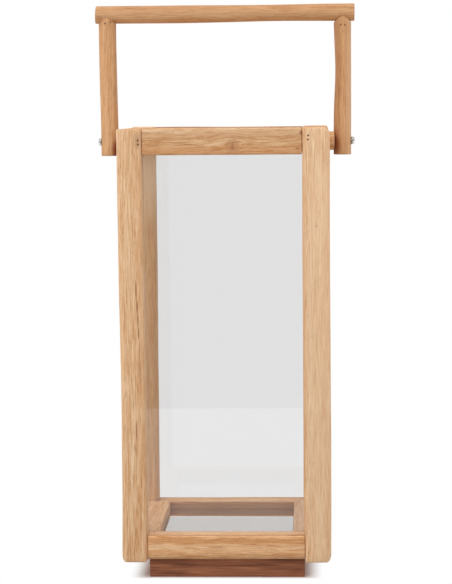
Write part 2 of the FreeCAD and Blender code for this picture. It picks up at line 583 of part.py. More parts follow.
# The bar, lying in the copes of the uprights, and two brads up into it from each of them.
bar = new_body("handle_bar", UPWARDS, f"-{BAR_LONG} / 2", "0", BAR_HEIGHT)
rod(bar, "Additive", "handle_bar_round", ALONG_X, ("0", "0", "0"), "Sizes.bar_thick / 2", BAR_LONG)
round_edges(bar, "handle_bar_ends", "Sizes.bar_round", lambda edge: edge.Closed)
handle_brads = []
for side, sign in (("left", "-"), ("right", "+")):
    cut_handle_brads(bar, f"{BAR_LONG} / 2 {sign} {UPRIGHT_OFFSET}", f"{BRAD_ENTRY} - {BAR_HEIGHT}")
    for number, step in ((0, "-"), (1, "+")):
        across = f"{sign}{UPRIGHT_OFFSET} {step} Sizes.handle_brad_pitch / 2"
        handle_brads.append(steel_rod(f"handle_brad_{side}_{number}", SLANTED,
                                      (across, "-Sizes.upright_thick / 2", BRAD_ENTRY),
                                      "Sizes.brad_thick", "Sizes.handle_brad_length"))
make_group("handle_brads", handle_brads)

doc.recompute()
for thing in doc.Objects:
    if "Invalid" in thing.State or "Error" in thing.State:
        raise RuntimeError(f"{thing.Label} did not rebuild: {thing.State}")
os.makedirs("parts", exist_ok=True)
for node in nodes:
    if node.Shape.isNull() or not node.Shape.isValid():
        raise RuntimeError(f"{node.Label} has no sound shape")
    node.Shape.exportStep(f"parts/{node.Label}.step")
    print(f"{node.Label}: {len(node.Shape.Solids)} solid(s), {node.Shape.Volume / 1000:.2f} cm3")
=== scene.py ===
import math

import bmesh
import bpy
from bmesh.types import BMVert
from mathutils import Matrix, Vector, noise
from mathutils.bvhtree import BVHTree


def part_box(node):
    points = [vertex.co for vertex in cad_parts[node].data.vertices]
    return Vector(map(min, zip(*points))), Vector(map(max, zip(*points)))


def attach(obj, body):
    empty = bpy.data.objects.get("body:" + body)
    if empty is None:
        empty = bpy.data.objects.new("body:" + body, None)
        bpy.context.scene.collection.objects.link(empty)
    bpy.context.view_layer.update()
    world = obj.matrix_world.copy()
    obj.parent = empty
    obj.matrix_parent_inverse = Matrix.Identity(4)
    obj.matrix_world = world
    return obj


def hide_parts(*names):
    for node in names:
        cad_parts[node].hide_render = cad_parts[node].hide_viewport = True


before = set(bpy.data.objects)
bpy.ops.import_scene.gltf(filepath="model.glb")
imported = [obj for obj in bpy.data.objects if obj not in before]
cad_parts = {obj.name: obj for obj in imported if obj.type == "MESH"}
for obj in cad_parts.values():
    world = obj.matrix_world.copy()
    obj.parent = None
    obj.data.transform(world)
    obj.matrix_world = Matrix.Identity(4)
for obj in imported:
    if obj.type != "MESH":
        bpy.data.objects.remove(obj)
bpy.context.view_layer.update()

X, Y, Z = 0, 1, 2
MM = 0.001

noise.seed_set(1)      # unseeded, the waves in the wood would change from run to run


# ---------------------------------------------------------------- materials

def shade(red, green, blue):
    """A colour given as everyday 0-255 values, as the linear colour a shader takes."""
    linear = [((c / 255 + 0.055) / 1.055) ** 2.4 if c > 10 else c / 3294 for c in (red, green, blue)]
    return (*linear, 1.0)


class Wire:
    """One output in a node tree, with arithmetic written as on plain numbers."""

    def __init__(self, finish, socket):
        self.finish = finish
        self.socket = socket

    def math(self, operation, first, second):
        return self.finish.node("ShaderNodeMath", {"operation": operation}, {0: first, 1: second})

    def __add__(self, other):
        return self.math("ADD", self, other)

    def __radd__(self, other):
        return self.math("ADD", other, self)

    def __sub__(self, other):
        return self.math("SUBTRACT", self, other)

    def __rsub__(self, other):
        return self.math("SUBTRACT", other, self)

    def __mul__(self, other):
        return self.math("MULTIPLY", self, other)

    def __rmul__(self, other):
        return self.math("MULTIPLY", other, self)


class Finish:
    """A material or world under construction. Every node comes from node()."""

    def __init__(self, owner):
        owner.use_nodes = True
        self.owner = owner
        self.tree = owner.node_tree
        self.tree.nodes.clear()

    def node(self, kind, settings=None, sockets=None, output=0):
        """Adds a node and returns one of its outputs, or nothing where it has none."""
        made = self.tree.nodes.new(kind)
        for key, value in (settings or {}).items():
            if key == "stops":
                set_stops(made.color_ramp, value)
            else:
                setattr(made, key, value)
        for key, value in (sockets or {}).items():
            if isinstance(value, Wire):
                self.tree.links.new(value.socket, made.inputs[key])
            else:
                made.inputs[key].default_value = value
        if made.outputs:
            return Wire(self, made.outputs[output])

    def surface(self, shader, end="ShaderNodeOutputMaterial"):
        self.node(end, {}, {"Surface": shader})

    def ray_is(self, kind):
        """1 for rays of a kind, such as Diffuse, and 0 for others."""
        return self.node("ShaderNodeLightPath", output="Is " + kind + " Ray")

    def object_place(self):
        return self.node("ShaderNodeTexCoord", output="Object")

    def mapped(self, vector, scale=(1, 1, 1), offset=(0, 0, 0), turn=(0, 0, 0)):
        sockets = {"Vector": vector, "Scale": scale, "Location": offset, "Rotation": turn}
        return self.node("ShaderNodeMapping", {}, sockets)

    def vector(self, operation, *parts):
        return self.node("ShaderNodeVectorMath", {"operation": operation}, dict(enumerate(parts)))

    def length(self, vector):
        return self.node("ShaderNodeVectorMath", {"operation": "LENGTH"}, {0: vector}, output="Value")

    def part(self, vector, axis):
        """The X, Y or Z value of a vector."""
        return self.node("ShaderNodeSeparateXYZ", {}, {"Vector": vector}, output="XYZ"[axis])

    def wavy(self, place, scale, reach):
        """place pushed about by up to reach, in slow waves."""
        sockets = {"Vector": place, "Scale": scale, "Detail": 1.0}
        push = self.node("ShaderNodeTexNoise", {}, sockets, output="Color")
        push = self.vector("SUBTRACT", push, (0.5, 0.5, 0.5))
        return self.vector("MULTIPLY_ADD", push, (reach, reach, reach), place)

    def noise(self, vector, scale, detail=2.0, rough=0.5, bend=0.0):
        sockets = {"Vector": vector, "Scale": scale, "Detail": detail,
                   "Roughness": rough, "Distortion": bend}
        return self.node("ShaderNodeTexNoise", {}, sockets)

    def ramped(self, value, low, high, out_low=0.0, out_high=1.0):
        """value from low..high taken to out_low..out_high, held at both ends."""
        sockets = {"Value": value, 1: low, 2: high, 3: out_low, 4: out_high}
        return self.node("ShaderNodeMapRange", {"interpolation_type": "SMOOTHSTEP"}, sockets)

    def blend(self, share, first, second):
        """Colour first turned to second by share."""
        sockets = {0: share, 6: first, 7: second}
        return self.node("ShaderNodeMix", {"data_type": "RGBA"}, sockets, output=2)

    def bump(self, height, distance, strength):
        sockets = {"Height": height, "Distance": distance, "Strength": strength}
        return self.node("ShaderNodeBump", {}, sockets)

    def coloured(self, value, stops):
        return self.node("ShaderNodeValToRGB", {"stops": stops}, {"Fac": value})


def set_stops(ramp, stops):
    """Gives a colour ramp its stops: (place, colour) from low to high."""
    while len(ramp.elements) < len(stops):
        ramp.elements.new(1.0)
    for element, (place, colour) in zip(ramp.elements, stops):
        element.position = place
        element.color = colour


def new_material(name):
    return Finish(bpy.data.materials.new(name))


def stretched(along, times):
    """Scales that pull a pattern out along the grain, to so many times its length."""
    scale = [1.0, 1.0, 1.0]
    scale[along] = 1.0 / times
    return scale


SPOT_CORE = 0.35


def spot(finish, place, centre, reach):
    """1 in the core around centre, fading to 0 at reach (a half size per axis)."""
    scale = [1 / r for r in reach]
    offset = [-c / r for c, r in zip(centre, reach)]
    local = finish.mapped(place, scale, offset)
    return finish.ramped(finish.length(local), SPOT_CORE, 1.0, 1.0, 0.0)


TEAK_SHADES = {
    "post": ((0.0, shade(190, 126, 78)), (0.28, shade(211, 161, 115)), (0.55, shade(222, 180, 138)),
             (0.8, shade(230, 193, 153)), (1.0, shade(237, 205, 168))),
    "rail": ((0.0, shade(176, 108, 62)), (0.28, shade(201, 145, 96)), (0.55, shade(215, 166, 119)),
             (0.8, shade(224, 181, 136)), (1.0, shade(233, 196, 156))),
    "handle": ((0.0, shade(162, 100, 58)), (0.28, shade(193, 138, 91)), (0.55, shade(209, 159, 112)),
               (0.8, shade(219, 172, 126)), (1.0, shade(230, 188, 146))),
}
TEAK_STEP = (0.37, 0.71, 0.53)      # how far one stick's pattern lies from the next one's, in metres
TEAK_PITH = (0.031, 0.047, 0.038)   # where the middle of the growth rings lies
RING_TURN = 1900.0                  # radians of ring pattern in a metre
RING_WANDER = 0.02
SAWN_FROM = 1.4 * MM                # the sawn look starts this far from an end and is full at the next
SAWN_FULL = 0.5 * MM
KNOT = shade(150, 84, 52)
PORE = shade(150, 94, 56)
AMBER = shade(200, 132, 72)
PALE = shade(240, 208, 172)
UMBER = shade(118, 68, 38)
# painted shade: the dark shade low on the handle uprights' inner sides, beside the posts and spacers
PAINTED_JOINT_SHADE = shade(138, 62, 26)
SAWN = shade(172, 122, 78)
ASHEN = shade(188, 168, 154)


def teak(name, along, ends, seed, kind, brightness=1.0, bands=0.22, rings=0.16, streaks=0.16,
         lines=0.34, hairs=0.4, curl=0.0005, slant=0.0, swirls=(), marks=()):
    """Bare, lightly oiled teak, sawn off at both ends. Its grain runs along one axis, slanted by degrees.

    bands, rings, streaks, lines and hairs say how strongly the broad tone bands, the growth rings,
    the streaks, the grain lines and the finest lines show, and curl how wavy they are. swirls push the
    grain aside, as (centre, reach, push); marks are knots, cracks, stains and paler or darker stripes,
    some of them painted shade and painted highlights where light falls, as (centre, reach, colour, depth)."""
    finish = new_material(name)
    place = finish.object_place()
    shift = [step * seed for step in TEAK_STEP]
    turn = [0.0, 0.0, 0.0]
    turn[X if along == Y else Y] = math.radians(slant)
    grain = place
    for centre, reach, push in swirls:
        grain = finish.vector("MULTIPLY_ADD", push, spot(finish, place, centre, reach), grain)
    grain = finish.mapped(grain, (1, 1, 1), shift, turn)
    grain = finish.wavy(finish.mapped(grain, stretched(along, 2.5)), 26.0, 0.003)
    grain = finish.wavy(grain, 130.0, curl)
    broad = finish.mapped(grain, stretched(along, 7.0))
    fine = finish.mapped(grain, stretched(along, 12.0))
    short = finish.mapped(grain, stretched(along, 5.0))
    band = finish.ramped(finish.noise(broad, 85.0, 3.0, 0.55, 0.6), 0.3, 0.72)
    pith = list(TEAK_PITH)
    pith[along] = 0.0
    ring_scale = [1.0, 1.0, 1.0]
    ring_scale[along] = 0.0
    radius = finish.length(finish.mapped(grain, ring_scale, pith))
    wave = (radius + finish.noise(broad, 40.0) * RING_WANDER) * RING_TURN
    ring = finish.node("ShaderNodeMath", {"operation": "SINE"}, {0: wave}) * 0.5 + 0.5
    streak = finish.ramped(finish.noise(fine, 300.0, 3.0, 0.6), 0.32, 0.7)
    line = finish.ramped(finish.noise(fine, 760.0, 3.0, 0.62, 0.3), 0.40, 0.62)
    hair = finish.ramped(finish.noise(fine, 1350.0, 2.0, 0.6), 0.38, 0.62)
    pore = finish.ramped(finish.noise(short, 820.0, 3.0, 0.6), 0.58, 0.66)
    speck = finish.noise(finish.mapped(place, stretched(along, 2.6)), 1100.0, 3.0, 0.7)
    level = 0.55 + (band - 0.5) * bands + (ring - 0.5) * rings * 0.5 + (streak - 0.5) * streaks
    level = level + (line - 0.5) * lines + (hair - 0.5) * hairs + (speck - 0.5) * 0.5
    stops = [(p, tuple(min(1.0, v * brightness) for v in c[:3]) + (1.0,)) for p, c in TEAK_SHADES[kind]]
    colour = finish.coloured(level, stops)
    colour = finish.blend(pore * 0.34, colour, PORE)
    patch = finish.ramped(finish.noise(broad, 30.0, 2.0, 0.5), 0.45, 0.7)
    colour = finish.blend(patch * 0.16, colour, AMBER)
    half = (ends[1] - ends[0]) / 2
    reached = finish.part(place, along) - (ends[0] + half)
    reached = finish.node("ShaderNodeMath", {"operation": "ABSOLUTE"}, {0: reached})
    sawn = finish.ramped(reached, half - SAWN_FROM, half - SAWN_FULL)
    colour = finish.blend(sawn * 0.4, colour, SAWN)
    for centre, reach, stain, depth in marks:
        colour = finish.blend(spot(finish, place, centre, reach) * depth, colour, stain)
    rough = 0.74 - level * 0.16 + pore * 0.1
    height = hair * 0.3 + line * 0.35 + streak * 0.2 - pore * 0.5
    shader = finish.node("ShaderNodeBsdfPrincipled", {}, {
        "Base Color": colour, "Roughness": rough, "Specular IOR Level": 0.3,
        "Normal": finish.bump(height, 0.0003, 0.7)})
    finish.surface(shader)
    return finish.owner


PLINTH_STEP = (0.91, 0.43, 0.67)


def plinth_wood(name, along, seed):
    """Dark red-brown plinth wood with darker lines along the strip."""
    finish = new_material(name)
    place = finish.object_place()
    shift = [step * seed for step in PLINTH_STEP]
    broad = finish.mapped(place, stretched(along, 14.0), shift)
    fine = finish.mapped(place, stretched(along, 30.0), shift)
    band = finish.ramped(finish.noise(broad, 170.0, 3.0, 0.6, 0.5), 0.3, 0.72)
    streak = finish.ramped(finish.noise(fine, 520.0, 4.0, 0.62), 0.3, 0.72)
    fibre = finish.noise(fine, 1500.0, 2.0, 0.6)
    level = 0.5 + (band - 0.5) * 0.55 + (streak - 0.5) * 0.45 + (fibre - 0.5) * 0.3
    colour = finish.coloured(level, (
        (0.0, shade(96, 53, 33)), (0.35, shade(134, 80, 52)), (0.7, shade(162, 102, 69)),
        (1.0, shade(190, 129, 91))))
    height = fibre * 0.5 + streak * 0.5
    shader = finish.node("ShaderNodeBsdfPrincipled", {}, {
        "Base Color": colour, "Roughness": 0.68 - level * 0.14, "Specular IOR Level": 0.3,
        "Normal": finish.bump(height, 0.00025, 0.7)})
    finish.surface(shader)
    return finish.owner


def ply(name):
    """Pale plywood of the floor board, with faint grain."""
    finish = new_material(name)
    place = finish.object_place()
    fine = finish.mapped(place, stretched(X, 20.0), (3.1, 1.7, 0.4))
    streak = finish.ramped(finish.noise(fine, 240.0, 4.0, 0.6), 0.3, 0.7)
    veneer = finish.node("ShaderNodeTexWave", {"bands_direction": "Z"}, {"Vector": place, "Scale": 260.0})
    colour = finish.coloured(streak * 0.7 + veneer * 0.3, (
        (0.0, shade(186, 146, 102)), (0.6, shade(216, 184, 142)), (1.0, shade(228, 202, 166))))
    shader = finish.node("ShaderNodeBsdfPrincipled", {}, {
        "Base Color": colour, "Roughness": 0.8 - streak * 0.15,
        "Normal": finish.bump(streak, 0.0002, 0.5)})
    finish.surface(shader)
    return finish.owner


GLASS_TINT = (0.880, 0.880, 0.881, 1.0)
GLASS_SMEAR = (0.874, 0.875, 0.876, 1.0)
GLASS_SHADOW = (0.96, 0.97, 0.965, 1.0)


def window_glass(name, seed):
    """Clear float glass, wiped but not spotless; light passes straight through it to what is behind."""
    finish = new_material(name)
    place = finish.object_place()
    wipe = finish.noise(finish.mapped(place, (1.0, 1.0, 0.35), (seed, seed, 0.0)), 22.0, 3.0, 0.6, 1.2)
    smear = finish.ramped(wipe, 0.55, 0.85)
    colour = finish.blend(smear, GLASS_TINT, GLASS_SMEAR)
    glass = finish.node("ShaderNodeBsdfPrincipled", {}, {
        "Base Color": colour, "Roughness": 0.0, "Transmission Weight": 1.0, "IOR": 1.45})
    clear = finish.node("ShaderNodeBsdfTransparent", {}, {"Color": GLASS_SHADOW})
    inner = finish.node("ShaderNodeMixShader", {}, {0: finish.ray_is("Diffuse"), 1: glass, 2: clear})
    finish.surface(finish.node("ShaderNodeMixShader", {}, {0: finish.ray_is("Shadow"), 1: inner, 2: clear}))
    return finish.owner


MIRROR_CLEAN = (0.532, 0.497, 0.467, 1.0)
MIRROR_DUSTY = (0.500, 0.470, 0.437, 1.0)
# painted light on the plate's rear, where the rear rail is reflected
MIRROR_REAR_PAINTED_LIGHT = (0.71, 0.655, 0.595, 1.0)


def mirror_plate(name):
    """Silvered plate on the floor, greyed a little by fine dust, and lighter towards the rear with painted
    light, so the rear rail's reflection in it reads lighter.
    """
    finish = new_material(name)
    place = finish.object_place()
    dust = finish.ramped(finish.noise(place, 42.0, 4.0, 0.6), 0.35, 0.75)
    grit = finish.ramped(finish.noise(place, 900.0, 2.0, 0.5), 0.62, 0.72)
    colour = finish.blend(dust, MIRROR_CLEAN, MIRROR_DUSTY)
    # painted light: the plate turns lighter over its rear, so the rear rail's reflection reads lighter
    painted_rear_light = finish.ramped(finish.part(place, Y), 0.024, 0.044)
    colour = finish.blend(painted_rear_light, colour, MIRROR_REAR_PAINTED_LIGHT)
    rough = 0.03 + dust * 0.03 + grit * 0.1
    shader = finish.node("ShaderNodeBsdfPrincipled", {}, {
        "Base Color": colour, "Metallic": 0.97 - grit * 0.2, "Roughness": rough})
    finish.surface(shader)
    return finish.owner


def steel(name, tint, rough_low, rough_high, brushed, bare=0.9):
    """Steel with turning marks and a dull patch here and there, bare or dark with rust."""
    finish = new_material(name)
    place = finish.object_place()
    patch = finish.ramped(finish.noise(place, 400.0, 3.0, 0.6), 0.3, 0.75)
    marks = finish.noise(finish.mapped(place, (brushed, 1.0, 1.0)), 2600.0, 2.0, 0.5)
    colour = finish.blend(patch * 0.6, tint, tuple(v * 0.72 for v in tint[:3]) + (1.0,))
    shader = finish.node("ShaderNodeBsdfPrincipled", {}, {
        "Base Color": colour, "Metallic": bare + patch * 0.1, "Specular IOR Level": 0.2,
        "Roughness": rough_low + patch * (rough_high - rough_low),
        "Normal": finish.bump(marks, 0.00004, 0.6)})
    finish.surface(shader)
    return finish.owner


# ---------------------------------------------------------------- camera and stage

CAMERA_PLACE = (0.07845, -2.0691, 0.46307)
CAMERA_LENS = 123.034


def add_camera():
    """The viewing angle: a long lens, a little right of the middle and slightly above it."""
    yaw, pitch, roll = 0.0388431, 0.0884690, -0.0073785
    forward = Vector((-math.sin(yaw) * math.cos(pitch), math.cos(yaw) * math.cos(pitch), -math.sin(pitch)))
    level = Vector((math.cos(yaw), math.sin(yaw), 0.0))
    upward = level.cross(forward)
    right = math.cos(roll) * level + math.sin(roll) * upward
    up = -math.sin(roll) * level + math.cos(roll) * upward
    data = bpy.data.cameras.new("camera")
    data.sensor_width = 36.0
    data.lens = CAMERA_LENS
    camera = bpy.data.objects.new("camera", data)
    turn = Matrix((right, up, -forward)).transposed()
    camera.matrix_world = Matrix.Translation(CAMERA_PLACE) @ turn.to_4x4()
    bpy.context.scene.collection.objects.link(camera)
    bpy.context.scene.camera = camera


def add_lamp(name, place, target, width, height, power):
    """A soft rectangular lamp at place, facing target."""
    data = bpy.data.lights.new(name, "AREA")
    data.shape = "RECTANGLE"
    data.size = width
    data.size_y = height
    data.energy = power
    lamp = bpy.data.objects.new(name, data)
    lamp.location = place
    lamp.rotation_euler = (Vector(target) - Vector(place)).to_track_quat("-Z", "Y").to_euler()
    lamp.visible_camera = False
    lamp.visible_transmission = False
    bpy.context.scene.collection.objects.link(lamp)


def clear_of_glass(finish):
    """1 for a ray that was mirrored rather than let through glass."""
    return finish.ray_is("Glossy") * (1.0 - finish.ray_is("Transmission"))


ROOM_LIGHT = 0.62
ROOM_GLOSS = 0.65
DIM_GLOSS = 0.06


def light_room():
    """A white room, dim on the viewer's side, with soft lamps high on the left, above and at each side."""
    world = bpy.data.worlds.new("white_room")
    bpy.context.scene.world = world
    finish = Finish(world)
    heading = finish.node("ShaderNodeTexCoord", output="Generated")
    frontal = finish.node("ShaderNodeVectorMath", {"operation": "DOT_PRODUCT"},
                          {0: heading, 1: (0.0, -1.0, 0.0)}, output="Value")
    gloss = finish.ramped(frontal, 0.55, 0.9, ROOM_GLOSS, DIM_GLOSS)
    dimmed = finish.ray_is("Diffuse") * (1.0 - ROOM_LIGHT)
    strength = 1.0 - dimmed - clear_of_glass(finish) * (1.0 - gloss)
    finish.surface(finish.node("ShaderNodeBackground", {}, {"Color": (1, 1, 1, 1), "Strength": strength}),
                   "ShaderNodeOutputWorld")
    scene = bpy.context.scene
    scene.view_settings.view_transform = "Standard"
    scene.view_settings.look = "None"
    add_lamp("key", (-1.1, -1.5, 1.7), (0, 0, 0.25), 1.1, 1.1, 13.0)
    add_lamp("overhead", (0.0, -0.1, 1.9), (0, 0, 0.0), 1.4, 1.4, 13.0)
    add_lamp("left_card", (-0.62, -0.25, 0.42), (0, -0.05, 0.33), 0.5, 0.8, 0.9)
    add_lamp("right_card", (0.62, -0.25, 0.52), (0, -0.05, 0.35), 0.5, 0.7, 1.1)


FLOOR_GLOW = 1.0
FLOOR_BOUNCE = 0.5
# painted reflection: the floor glows this bright in the glass and the mirror, brighter than it looks itself
FLOOR_GLOW_IN_REFLECTIONS = 1.6
PAPER = (0.50, 0.475, 0.46, 1.0)
# painted light: the paper looks brighter by this much to the camera than to the light it bounces onto the
# lantern
PAPER_LIFT = (0.43, 0.425, 0.425, 1.0)
SHADED_HALF = (0.078, 0.0955, 0.0)  # half the plinth's outline, from which the fade starts
FADE_REACH = 0.021
FADE_SQUEEZE = (1.0, 2.2, 1.0)      # the fade is shorter before and behind the plinth than beside it


def lay_floor():
    """A pale table top that fades into the white room away from the lantern: near the plinth it takes the
    lamps' real shadow, and past a short reach it is a painted white glow, so how far the shadow reaches is
    painted.
    """
    near, far, side = -1.26, 3.0, 2.2
    bm = bmesh.new()
    bmesh.ops.create_grid(bm, x_segments=2, y_segments=2, size=1.0)
    bmesh.ops.scale(bm, vec=(side, (far - near) / 2, 1.0), verts=bm.verts)
    bmesh.ops.translate(bm, vec=(0.0, (far + near) / 2, 0.0), verts=bm.verts)
    mesh = bpy.data.meshes.new("floor")
    bm.to_mesh(mesh)
    bm.free()
    floor = bpy.data.objects.new("floor", mesh)
    bpy.context.scene.collection.objects.link(floor)
    finish = new_material("floor_paper")
    place = finish.object_place()
    away = finish.vector("SUBTRACT", finish.vector("ABSOLUTE", place), SHADED_HALF)
    away = finish.vector("MULTIPLY", finish.vector("MAXIMUM", away, (0.0, 0.0, 0.0)), FADE_SQUEEZE)
    # painted glow: past FADE_REACH from the plinth's outline the floor turns to a white glow, which cuts
    # the lantern's shadow off there
    fade = finish.ramped(finish.length(away), 0.0, FADE_REACH)
    bounced = finish.ray_is("Diffuse")
    paper = finish.node("ShaderNodeBsdfDiffuse", {}, {"Color": PAPER})
    strength = FLOOR_GLOW - bounced * (FLOOR_GLOW - FLOOR_BOUNCE)
    glow = finish.node("ShaderNodeEmission", {}, {"Color": (1, 1, 1, 1), "Strength": strength})
    # painted reflection, seen only in the glass and the mirror
    glow_in_reflections = finish.node("ShaderNodeEmission", {}, {"Color": (1, 1, 1, 1), "Strength": FLOOR_GLOW_IN_REFLECTIONS})
    extra = finish.node("ShaderNodeBsdfDiffuse", {}, {"Color": PAPER_LIFT})
    none = finish.node("ShaderNodeEmission", {}, {"Strength": 0.0})
    extra = finish.node("ShaderNodeMixShader", {}, {0: bounced, 1: extra, 2: none})
    paper = finish.node("ShaderNodeAddShader", {}, {0: paper, 1: extra})
    lit = finish.node("ShaderNodeMixShader", {}, {0: fade, 1: paper, 2: glow})
    mirrored = clear_of_glass(finish)
    finish.surface(finish.node("ShaderNodeMixShader", {}, {0: mirrored, 1: lit, 2: glow_in_reflections}))
    mesh.materials.append(finish.owner)


# ---------------------------------------------------------------- shaping

def as_piece(bm, name, material, body, nodes):
    """Turns a finished bmesh into a piece that rides on a body and stands for its CAD nodes."""
    bmesh.ops.recalc_face_normals(bm, faces=bm.faces)
    mesh = bpy.data.meshes.new(name)
    bm.to_mesh(mesh)
    bm.free()
    mesh.shade_smooth()
    mesh.materials.append(material)
    piece = bpy.data.objects.new(name, mesh)
    bpy.context.scene.collection.objects.link(piece)
    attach(piece, body)
    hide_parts(*nodes)


def extent(bm, along):
    """How far a mesh reaches along one axis: its lowest and highest value there."""
    places = [vert.co[along] for vert in bm.verts]
    return min(places), max(places)


def round_off(bm, edges, offset, segments):
    bmesh.ops.bevel(bm, geom=edges, offset=offset, offset_type="OFFSET", affect="EDGES",
                    segments=segments, profile=0.5, material=-1, clamp_overlap=True)


def cut_across(bm, axis, places):
    """Adds a ring of edges where each plane across axis meets the mesh."""
    normal = [0.0, 0.0, 0.0]
    normal[axis] = 1.0
    for place in places:
        point = [0.0, 0.0, 0.0]
        point[axis] = place
        geometry = bm.verts[:] + bm.edges[:] + bm.faces[:]
        bmesh.ops.bisect_plane(bm, geom=geometry, dist=1e-6, plane_co=point, plane_no=normal)


def spaced(low, high, gap):
    """Places from low to high, both left out, at most gap apart."""
    count = max(2, math.ceil((high - low) / gap))
    return [low + (high - low) * i / count for i in range(1, count)]


RING_GAP = 6.0 * MM                 # between the rings of edges that let a stick be bent
TENON_SHOULDER = 1.6 * MM


def squared_stick(low, high, along, edge_rounds, end_round, tenon=0.0):
    """A stick filling the box low..high. edge_rounds are for its four long edges, in the order
    (low, low), (high, low), (high, high), (low, high) of the two axes across it. A tenon of that
    length stands out from each end."""
    size = high - low
    middle = (low + high) / 2
    across = [axis for axis in (X, Y, Z) if axis != along]
    bm = bmesh.new()
    bmesh.ops.create_cube(bm, size=1.0)
    bmesh.ops.scale(bm, vec=size, verts=bm.verts)
    bmesh.ops.translate(bm, vec=middle, verts=bm.verts)
    corners = {}
    for edge in bm.edges:
        half = (edge.verts[0].co + edge.verts[1].co) / 2
        if abs(half[along] - middle[along]) < size[along] / 4:
            corners[half[across[0]] > middle[across[0]], half[across[1]] > middle[across[1]]] = edge
    order = ((False, False), (True, False), (True, True), (False, True))
    for corner, offset in zip(order, edge_rounds):
        round_off(bm, [corners[corner]], offset, 5)
    bm.normal_update()
    ends = [face for face in bm.faces if abs(face.normal[along]) > 0.9]
    end_edges = {edge for face in ends for edge in face.edges}
    round_off(bm, list(end_edges), end_round, 3)
    if tenon:
        cut_tenons(bm, along, middle[along], tenon)
    for axis in across:
        cut_across(bm, axis, spaced(low[axis], high[axis], RING_GAP))
    cut_across(bm, along, spaced(low[along], high[along], RING_GAP))
    return bm


def cut_tenons(bm, along, middle, length):
    """Draws a smaller block out of each end face, as the part that enters the post."""
    bm.normal_update()
    for face in [face for face in bm.faces if abs(face.normal[along]) > 0.99]:
        outward = 1.0 if face.calc_center_median()[along] > middle else -1.0
        bmesh.ops.inset_region(bm, faces=[face], thickness=TENON_SHOULDER, depth=0.0)
        grown = bmesh.ops.extrude_discrete_faces(bm, faces=[face])["faces"][0]
        move = [0.0, 0.0, 0.0]
        move[along] = outward * length
        bmesh.ops.translate(bm, vec=move, verts=grown.verts)


def round_stick(start, end, radius, end_round):
    """A round rod between two points."""
    axis = end - start
    bm = bmesh.new()
    bmesh.ops.create_cone(bm, cap_ends=True, segments=40, radius1=radius, radius2=radius, depth=axis.length)
    caps = [face for face in bm.faces if len(face.verts) > 4]
    round_off(bm, list({edge for face in caps for edge in face.edges}), end_round, 3)
    cut_across(bm, Z, spaced(-axis.length / 2, axis.length / 2, 5.0 * MM))
    turn = axis.to_track_quat("Z", "Y").to_matrix()
    bmesh.ops.rotate(bm, cent=(0, 0, 0), matrix=turn, verts=bm.verts)
    bmesh.ops.translate(bm, vec=(start + end) / 2, verts=bm.verts)
    return bm


SLOW_WAVES = 9.0                    # noise cells in a metre
RIPPLES_ACROSS = 95.0
RIPPLES_ALONG = 22.0
PUSH_ALONG = 0.25                   # how much of a push along the grain is kept


def hand_work(bm, along, seed, wave, ripple):
    """Makes a machined stick look hand-worked: slow waves along it and small ripples across the grain."""
    shift = Vector((seed * 1.37, seed * 2.11, seed * 0.73))
    for vert in bm.verts:
        quick = vert.co * RIPPLES_ACROSS
        quick[along] = vert.co[along] * RIPPLES_ALONG
        slow = vert.co * SLOW_WAVES
        move = noise.noise_vector(slow + shift) * wave + noise.noise_vector(quick + shift) * ripple
        move[along] *= PUSH_ALONG
        vert.co += move


def eased(value, low, high):
    """0 below low, 1 above high, smooth between."""
    share = min(1.0, max(0.0, (value - low) / (high - low)))
    return share * share * (3.0 - 2.0 * share)


# ---------------------------------------------------------------- frame pieces

def make_post(name, seed, edge_rounds, looks, shape=None):
    """A corner post: squared, rounded most along its outer edges, softer at head and foot."""
    low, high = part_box(name)
    bm = squared_stick(low, high, Z, [r * MM for r in edge_rounds], 1.6 * MM)
    if shape:
        for vert in bm.verts:
            shape(vert.co, low, high)
    hand_work(bm, Z, seed, 0.45 * MM, 0.13 * MM)
    material = teak("teak_" + name, Z, extent(bm, Z), seed, **looks)
    as_piece(bm, name + "_worked", material, "frame", [name])


def shape_front_left(point, low, high):
    """Narrows on the outer side towards the foot and on the inner side towards the head, which is
    a shade low."""
    outside = 1.0 - eased(point.x, low.x, high.x)
    narrowing = 2.1 * (1.0 - eased(point.z, 0.09, 0.42)) - 1.0 * (1.0 - eased(point.z, 0.015, 0.09))
    point.x += (narrowing - 0.3) * MM * outside
    risen = max(0.0, (point.z - 0.05) / 0.39)
    point.x -= 2.0 * MM * risen ** 1.3 * (1.0 - outside)
    point.z -= 1.1 * MM * eased(point.z, high.z - 0.02, high.z)
    round_foot(point, low.x + 0.8 * MM, low, -1.0, 3.4 * MM)
    round_foot(point, high.x, low, 1.0, 2.2 * MM)
    point.z += 1.2 * MM * (1.0 - eased(point.z, low.z, low.z + 0.02))


def round_foot(point, edge, low, outward, reach):
    """Takes the foot's corner off, on the side where x grows or falls towards edge."""
    over = (point.x - edge) * outward - (point.z - low.z) + reach
    if over > 0:
        point.x -= outward * over / 2
        point.z += over / 2


def shape_rear_left(point, low, high):
    """Slimmer than the others on its inner side."""
    point.x -= 1.9 * MM * eased(point.x, low.x, high.x)


def shape_front_right(point, low, high):
    """Its outer top corner is cut off, and the inner face draws in at the foot."""
    inside = 1.0 - eased(point.x, low.x, high.x)
    foot = 1.0 - eased(point.z, 0.03, 0.085)
    point.z -= 0.6 * MM * eased(point.z, high.z - 0.02, high.z)
    point.x += (1.6 * foot - 0.6) * MM * inside
    point.x += 0.6 * MM * (1.0 - inside) * (1.0 - eased(point.z, 0.1, 0.42))
    over = (point.x - high.x) + (point.z - high.z) + 4.6 * MM
    if over > 0:
        point.x -= over / 2
        point.z -= over / 2
    round_foot(point, high.x + 0.6 * MM, low, 1.0, 3.8 * MM)
    point.z += 1.2 * MM * (1.0 - eased(point.z, low.z, low.z + 0.02))


